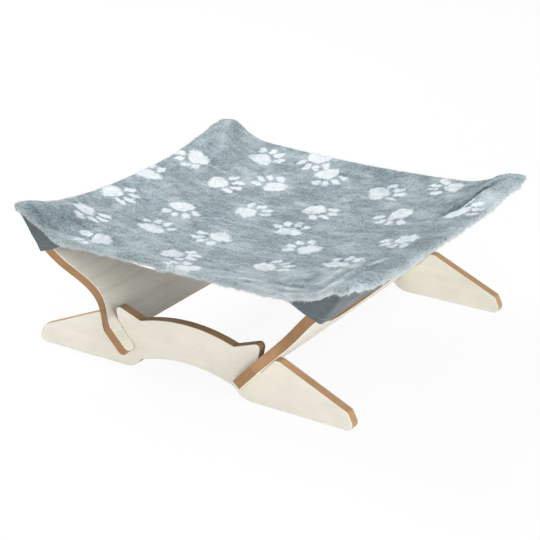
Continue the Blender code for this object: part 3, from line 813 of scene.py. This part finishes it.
def add_pocket(place, side_x, side_y, seed, finish, thread):
    """One corner's pocket and the stitches round its mouth."""
    node = place + "_pocket"
    cloth, out = pocket_cloth(node, side_x, side_y, seed)
    flip = np.array((side_x, side_y, 1.0))
    cloth = cloth * flip
    out = out * flip
    faces = grid_faces(POCKET_ROWS + 1, POCKET_COLUMNS + 1)
    mesh = mesh_from(place + "_cloth", cloth.reshape(-1, 3), faces)
    row, column = POCKET_ROWS // 2, POCKET_COLUMNS // 2
    if mesh.polygons[row * POCKET_COLUMNS + column].normal.dot(Vector(out[row, column])) < 0.0:
        mesh.flip_normals()
    piece = add_piece(place + "_pocket_cloth", mesh, finish, [node])
    add_wall(piece, POCKET_THICK, -1.0)
    row = int(POCKET_ROWS * (MOUTH_HEM + STITCH_IN))
    run = stitch_mesh(cloth[row] + out[row] * STITCH_RADIUS * STITCH_LIFT, out[row])
    return piece, add_piece(place + "_stitches", run, thread)


def add_pockets(finish, thread):
    corners = (("front_left", -1, -1), ("front_right", 1, -1), ("back_left", -1, 1),
               ("back_right", 1, 1))
    return [add_pocket(*corner, SEEDS["pockets"] + k, finish, thread)
            for k, corner in enumerate(corners)]


# Materials

class Tree:
    """Short calls for building one material's nodes."""

    def __init__(self, name):
        self.made = bpy.data.materials.new(name)
        self.made.use_nodes = True
        self.tree = self.made.node_tree
        self.inputs = self.tree.nodes["Principled BSDF"].inputs
        self.place = self.node("ShaderNodeTexCoord").outputs["Object"]

    def node(self, kind, **settings):
        made = self.tree.nodes.new(kind)
        for key, value in settings.items():
            setattr(made, key, value)
        return made

    def feed(self, socket, value):
        if isinstance(value, bpy.types.NodeSocket):
            self.tree.links.new(value, socket)
        elif isinstance(value, tuple) and len(value) == 3 and socket.type == "RGBA":
            socket.default_value = (*value, 1.0)
        else:
            socket.default_value = value

    def finish(self, **values):
        """Feeds the shader's own sockets, named with _ for a blank."""
        for name, value in values.items():
            self.feed(self.inputs[name.replace("_", " ")], value)
        return self.made

    def math(self, operation, *values):
        made = self.node("ShaderNodeMath", operation=operation)
        for socket, value in zip(made.inputs, values):
            self.feed(socket, value)
        return made.outputs[0]

    def dot(self, direction):
        made = self.node("ShaderNodeVectorMath", operation="DOT_PRODUCT")
        self.feed(made.inputs[0], self.place)
        made.inputs[1].default_value = direction
        return made.outputs["Value"]

    def stretched(self, scale, turn=(0.0, 0.0, 0.0)):
        made = self.node("ShaderNodeMapping")
        self.feed(made.inputs["Vector"], self.place)
        made.inputs["Rotation"].default_value = turn
        made.inputs["Scale"].default_value = scale
        return made.outputs["Vector"]

    def noise(self, scale, detail=3.0, rough=0.5, vector=None, warp=0.0):
        made = self.node("ShaderNodeTexNoise")
        self.feed(made.inputs["Vector"], vector or self.place)
        made.inputs["Scale"].default_value = scale
        made.inputs["Detail"].default_value = detail
        made.inputs["Roughness"].default_value = rough
        made.inputs["Distortion"].default_value = warp
        return made.outputs["Fac"]

    def bands(self, scale, vector, warp):
        made = self.node("ShaderNodeTexWave", bands_direction="X")
        self.feed(made.inputs["Vector"], vector)
        made.inputs["Scale"].default_value = scale
        made.inputs["Distortion"].default_value = warp
        made.inputs["Detail Scale"].default_value = 0.6
        return made.outputs["Fac"]

    def ramp(self, source, stops):
        """Colours or greys between (value, colour) stops."""
        made = self.node("ShaderNodeValToRGB")
        self.feed(made.inputs["Fac"], source)
        elements = made.color_ramp.elements
        while len(elements) < len(stops):
            elements.new(1.0)
        for element, (at, colour) in zip(elements, stops):
            element.position = at
            element.color = (*(colour if isinstance(colour, tuple) else (colour,) * 3), 1.0)
        return made.outputs["Color"]

    def mix(self, share, first, second, blend="MIX"):
        made = self.node("ShaderNodeMix", data_type="RGBA", blend_type=blend)
        self.feed(made.inputs["Factor"], share)
        colours = [s for s in made.inputs if s.type == "RGBA"]
        self.feed(colours[0], first)
        self.feed(colours[1], second)
        return [s for s in made.outputs if s.type == "RGBA"][0]

    def darken(self, share, colour, source, stops):
        """A colour multiplied by a ramp, by that share."""
        return self.mix(share, colour, self.ramp(source, stops), "MULTIPLY")

    def attribute(self, name):
        return self.node("ShaderNodeAttribute", attribute_name=name).outputs["Fac"]

    def bump(self, source, distance, strength, under=None):
        made = self.node("ShaderNodeBump")
        self.feed(made.inputs["Height"], source)
        made.inputs["Distance"].default_value = distance
        made.inputs["Strength"].default_value = strength
        if under is not None:
            self.feed(made.inputs["Normal"], under)
        return made.outputs["Normal"]


def board_plane(node):
    """A board's face normal, and where its two faces lie along it."""
    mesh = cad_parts[node].data
    normal = max(mesh.polygons, key=lambda face: face.area).normal.copy()
    if normal.z < 0.0:
        normal.negate()
    places = [v.co.dot(normal) for v in mesh.vertices]
    return normal, min(places), max(places)


def plywood(node, grain):
    """Pale face veneer with grain along one axis, and tan sawn edges with fine plies."""
    tree = Tree(node + "_ply")
    normal, low, high = board_plane(node)
    off = tree.math("SUBTRACT", tree.dot(tuple(normal)), (low + high) / 2)
    # 0 in the board's middle plane, 1 on its faces
    depth = tree.math("DIVIDE", tree.math("ABSOLUTE", off), (high - low) / 2)

    long_way = (0.10, 1.0, 1.0) if grain == "x" else (1.0, 0.10, 1.0)
    fibres = tree.noise(520.0, 4.0, 0.6, tree.stretched(long_way))
    streaks = tree.noise(46.0, 3.0, 0.55, tree.stretched(long_way), warp=0.6)
    blotch = tree.noise(9.0, 2.0)
    turned = (0.0, 0.0, 0.0) if grain == "y" else (0.0, 0.0, math.pi / 2)
    figure = tree.bands(22.0, tree.stretched((1.0, 0.16, 1.0), turned), 9.0)
    face = tree.ramp(streaks, [(0.30, (0.690, 0.655, 0.565)), (0.55, (0.725, 0.692, 0.608)),
                               (0.75, (0.745, 0.715, 0.635))])
    face = tree.darken(FIGURE[grain], face, figure, [(0.05, 0.45), (0.35, 1.0)])
    face = tree.darken(0.10, face, fibres, [(0.35, 0.45), (0.65, 1.0)])
    face = tree.darken(0.10, face, blotch, [(0.3, 0.62), (0.7, 1.0)])

    core = tree.ramp(tree.noise(60.0, 2.0), list(zip((0.3, 0.5, 0.7), CORES[grain])))
    ply = tree.math("SINE", tree.math("MULTIPLY", depth, PLIES / 2 * math.pi))
    ply = tree.math("MULTIPLY_ADD", ply, 0.5, 0.5)
    core = tree.darken(0.16, core, ply, [(0.25, 0.35), (0.6, 1.0)])
    # A burnt line beside each bevelled arris, which has the face's colour
    core = tree.darken(1.0, core, depth, [(0.84, (1.0, 1.0, 1.0)), (0.89, (0.50, 0.46, 0.38))])
    is_face = tree.ramp(depth, [(0.905, 0.0), (0.925, 1.0)])

    grainy = tree.math("ADD", tree.math("MULTIPLY", fibres, 0.6), tree.math("MULTIPLY", ply, 0.25))
    return tree.finish(Base_Color=tree.mix(is_face, core, face),
                       Roughness=tree.ramp(fibres, [(0.3, 0.46), (0.7, 0.60)]),
                       Specular_IOR_Level=0.35,
                       Normal=tree.bump(grainy, 0.00012, 0.5))


def plush_finish():
    """Blue-grey pile, mottled, with off-white prints, painted highlights and painted shade over its
    folds, and a rim paled by painted sheen.
    """
    tree = Tree("blue_plush")
    fine = tree.noise(1000.0, 2.0, 0.65)
    clumps = tree.noise(480.0, 3.0, 0.65)
    patches = tree.noise(110.0, 3.0, 0.6)
    streaks = tree.noise(24.0, 5.0, 0.65, tree.stretched((1.0, 3.4, 1.0), (0.0, 0.0, 0.45)),
                         warp=1.6)
    wide = tree.noise(16.0, 3.0, 0.55)
    base = tree.ramp(clumps, [(0.34, (0.236, 0.328, 0.364)), (0.50, (0.388, 0.497, 0.530)),
                              (0.66, (0.640, 0.742, 0.768))])
    base = tree.darken(0.6, base, fine, [(0.34, 0.55), (0.66, 1.0)])
    base = tree.darken(0.8, base, streaks, [(0.38, 0.60), (0.62, 1.0)])
    base = tree.darken(0.5, base, wide, [(0.34, 0.65), (0.66, 1.0)])
    base = tree.darken(0.5, base, patches, [(0.36, 0.72), (0.60, 1.0)])

    # Painted highlights where the value is above 0, painted shade where it is below 0
    light_and_nap = tree.attribute("light_and_nap")
    highlight_share = tree.math("MULTIPLY", tree.math("MAXIMUM", light_and_nap, 0.0), PAINTED_HIGHLIGHT_STRENGTH)
    shade_share = tree.math("MAXIMUM", tree.math("MULTIPLY", light_and_nap, -1.0), 0.0)
    shade_share = tree.math("MULTIPLY", shade_share, PAINTED_SHADE_STRENGTH)
    painted_highlight = tree.ramp(fine, [(0.3, (0.50, 0.57, 0.585)), (0.7, (0.76, 0.83, 0.84))])
    base = tree.mix(highlight_share, base, painted_highlight)

    white = tree.ramp(clumps, [(0.32, (0.62, 0.67, 0.70)), (0.6, (0.85, 0.89, 0.91))])
    cover = tree.ramp(patches, [(0.32, 0.72), (0.50, 0.95)])
    colour = tree.mix(tree.math("MULTIPLY", tree.attribute("print"), cover), base, white)
    # Painted shade: the creases multiplied towards a dark slate blue
    colour = tree.mix(shade_share, colour, (0.40, 0.45, 0.50), "MULTIPLY")
    # Painted sheen: the rim and the tufts mixed towards a pale grey
    painted_sheen = tree.ramp(fine, [(0.3, (0.62, 0.68, 0.70)), (0.7, (0.90, 0.92, 0.93))])
    colour = tree.mix(tree.math("MULTIPLY", tree.attribute("rim"), 0.80), colour, painted_sheen)
    clumpy = tree.bump(clumps, 0.0012, 0.7)
    return tree.finish(Base_Color=colour, Roughness=0.95, Specular_IOR_Level=0.15,
                       Sheen_Weight=0.45, Sheen_Roughness=0.45, Sheen_Tint=(0.85, 0.92, 1.0),
                       Normal=tree.bump(fine, 0.0006, 0.8, clumpy))


def lining_finish():
    """Smooth slate cloth with a fine plain weave."""
    tree = Tree("slate_cloth")
    warp = tree.noise(900.0, 2.0, 0.5, tree.stretched((1.0, 0.2, 1.0)))
    weft = tree.noise(900.0, 2.0, 0.5, tree.stretched((0.2, 1.0, 0.2)))
    weave = tree.math("MULTIPLY_ADD", warp, 0.5, tree.math("MULTIPLY", weft, 0.5))
    wide = tree.noise(22.0, 3.0, 0.5)
    colour = tree.ramp(wide, [(0.3, (0.082, 0.102, 0.110)), (0.7, (0.106, 0.130, 0.139))])
    return tree.finish(Base_Color=tree.darken(0.7, colour, weave, [(0.35, 0.72), (0.65, 1.0)]),
                       Roughness=tree.ramp(weave, [(0.35, 0.82), (0.65, 0.68)]),
                       Sheen_Weight=0.15, Sheen_Roughness=0.4,
                       Normal=tree.bump(weave, 0.00015, 0.6))


def thread_finish():
    """Twisted sewing thread, a shade lighter than the lining."""
    tree = Tree("grey_thread")
    twist = tree.noise(2600.0, 1.0)
    colour = tree.ramp(twist, [(0.3, (0.20, 0.24, 0.26)), (0.7, (0.32, 0.37, 0.39))])
    return tree.finish(Base_Color=colour, Roughness=0.6, Normal=tree.bump(twist, 0.0001, 0.5))


# Stage

def camera_and_mirror_rays(tree):
    """1 for the camera's rays and for those that a surface mirrors or lets through, else 0."""
    rays = tree.nodes.new("ShaderNodeLightPath").outputs
    seen = rays["Is Camera Ray"]
    for kind in ("Is Glossy Ray", "Is Transmission Ray"):
        either = tree.nodes.new("ShaderNodeMath")
        either.operation = "MAXIMUM"
        tree.links.new(seen, either.inputs[0])
        tree.links.new(rays[kind], either.inputs[1])
        seen = either.outputs[0]
    return seen


def mixed_out(tree, share, first, second, output):
    """Links a mix of two shaders to the tree's output."""
    mixer = tree.nodes.new("ShaderNodeMixShader")
    tree.links.new(share, mixer.inputs["Fac"])
    tree.links.new(first, mixer.inputs[1])
    tree.links.new(second, mixer.inputs[2])
    tree.links.new(mixer.outputs["Shader"], tree.nodes[output].inputs["Surface"])


def floor_finish():
    finish = bpy.data.materials.new("pale_floor")
    finish.use_nodes = True
    tree = finish.node_tree
    shader = tree.nodes["Principled BSDF"]
    shader.inputs["Base Color"].default_value = (FLOOR_GREY, FLOOR_GREY, FLOOR_GREY, 1.0)
    shader.inputs["Roughness"].default_value = 0.9
    glow = tree.nodes.new("ShaderNodeEmission")
    share = tree.nodes.new("ShaderNodeMath")
    share.operation = "MULTIPLY"
    tree.links.new(camera_and_mirror_rays(tree), share.inputs[0])
    share.inputs[1].default_value = FLOOR_WHITE
    mixed_out(tree, share.outputs[0], shader.outputs["BSDF"], glow.outputs["Emission"],
              "Material Output")
    return finish


def add_floor():
    mesh = bpy.data.meshes.new("floor")
    corners = [(x * FLOOR_REACH, y * FLOOR_REACH, 0.0)
               for x, y in ((-1, -1), (1, -1), (1, 1), (-1, 1))]
    mesh.from_pydata(corners, [], [(0, 1, 2, 3)])
    mesh.materials.append(floor_finish())
    floor = bpy.data.objects.new("floor", mesh)
    bpy.context.scene.collection.objects.link(floor)


def set_world():
    """Even pale light, and plain white where the camera looks past the floor."""
    world = bpy.data.worlds.new("studio")
    bpy.context.scene.world = world
    world.use_nodes = True
    tree = world.node_tree
    light = tree.nodes["Background"]
    plain = tree.nodes.new("ShaderNodeBackground")
    for back, level in ((light, WORLD_LEVEL), (plain, 1.0)):
        back.inputs["Color"].default_value = (1.0, 1.0, 1.0, 1.0)
        back.inputs["Strength"].default_value = level
    mixed_out(tree, camera_and_mirror_rays(tree), light.outputs[0], plain.outputs[0],
              "World Output")


def add_lamp(name, place, size, watts):
    """A soft square lamp that faces the middle of the bed."""
    lamp = bpy.data.lights.new(name, "AREA")
    lamp.shape = "SQUARE"
    lamp.size = size
    lamp.energy = watts
    made = bpy.data.objects.new(name, lamp)
    made.location = place
    made.rotation_euler = (Vector(LAMP_AIM) - Vector(place)).to_track_quat("-Z", "Y").to_euler()
    bpy.context.scene.collection.objects.link(made)


def add_camera():
    az, el = CAMERA_AZIMUTH, CAMERA_ELEVATION
    back = Vector((math.sin(az) * math.cos(el), -math.cos(az) * math.cos(el), math.sin(el)))
    right = Vector((math.cos(az), math.sin(az), 0.0))
    up = back.cross(right)
    lens = bpy.data.cameras.new("camera")
    lens.lens = CAMERA_LENS
    lens.sensor_width = CAMERA_SENSOR
    camera = bpy.data.objects.new("camera", lens)
    turn = Matrix((right, up, back)).transposed().to_4x4()
    camera.matrix_world = Matrix.Translation(CAMERA_AT) @ turn
    bpy.context.scene.collection.objects.link(camera)
    bpy.context.scene.camera = camera


# The dressed bed

def dress_boards():
    for node, grain in GRAINS.items():
        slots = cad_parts[node].data.materials
        slots.clear()
        slots.append(plywood(node, grain))


def add_cloth():
    cloth = lining_finish()
    pile = plush_finish()
    thread = thread_finish()
    plush, rings, out = add_plush(pile)
    tufts = add_hem_tufts(pile, rings, out)
    lining = add_lining(cloth)
    pockets = add_pockets(cloth, thread)


def add_studio():
    add_floor()
    set_world()
    for lamp in LAMPS:
        add_lamp(*lamp)
    add_camera()
    bpy.context.scene.view_settings.view_transform = "Standard"


dress_boards()
add_cloth()
add_studio()
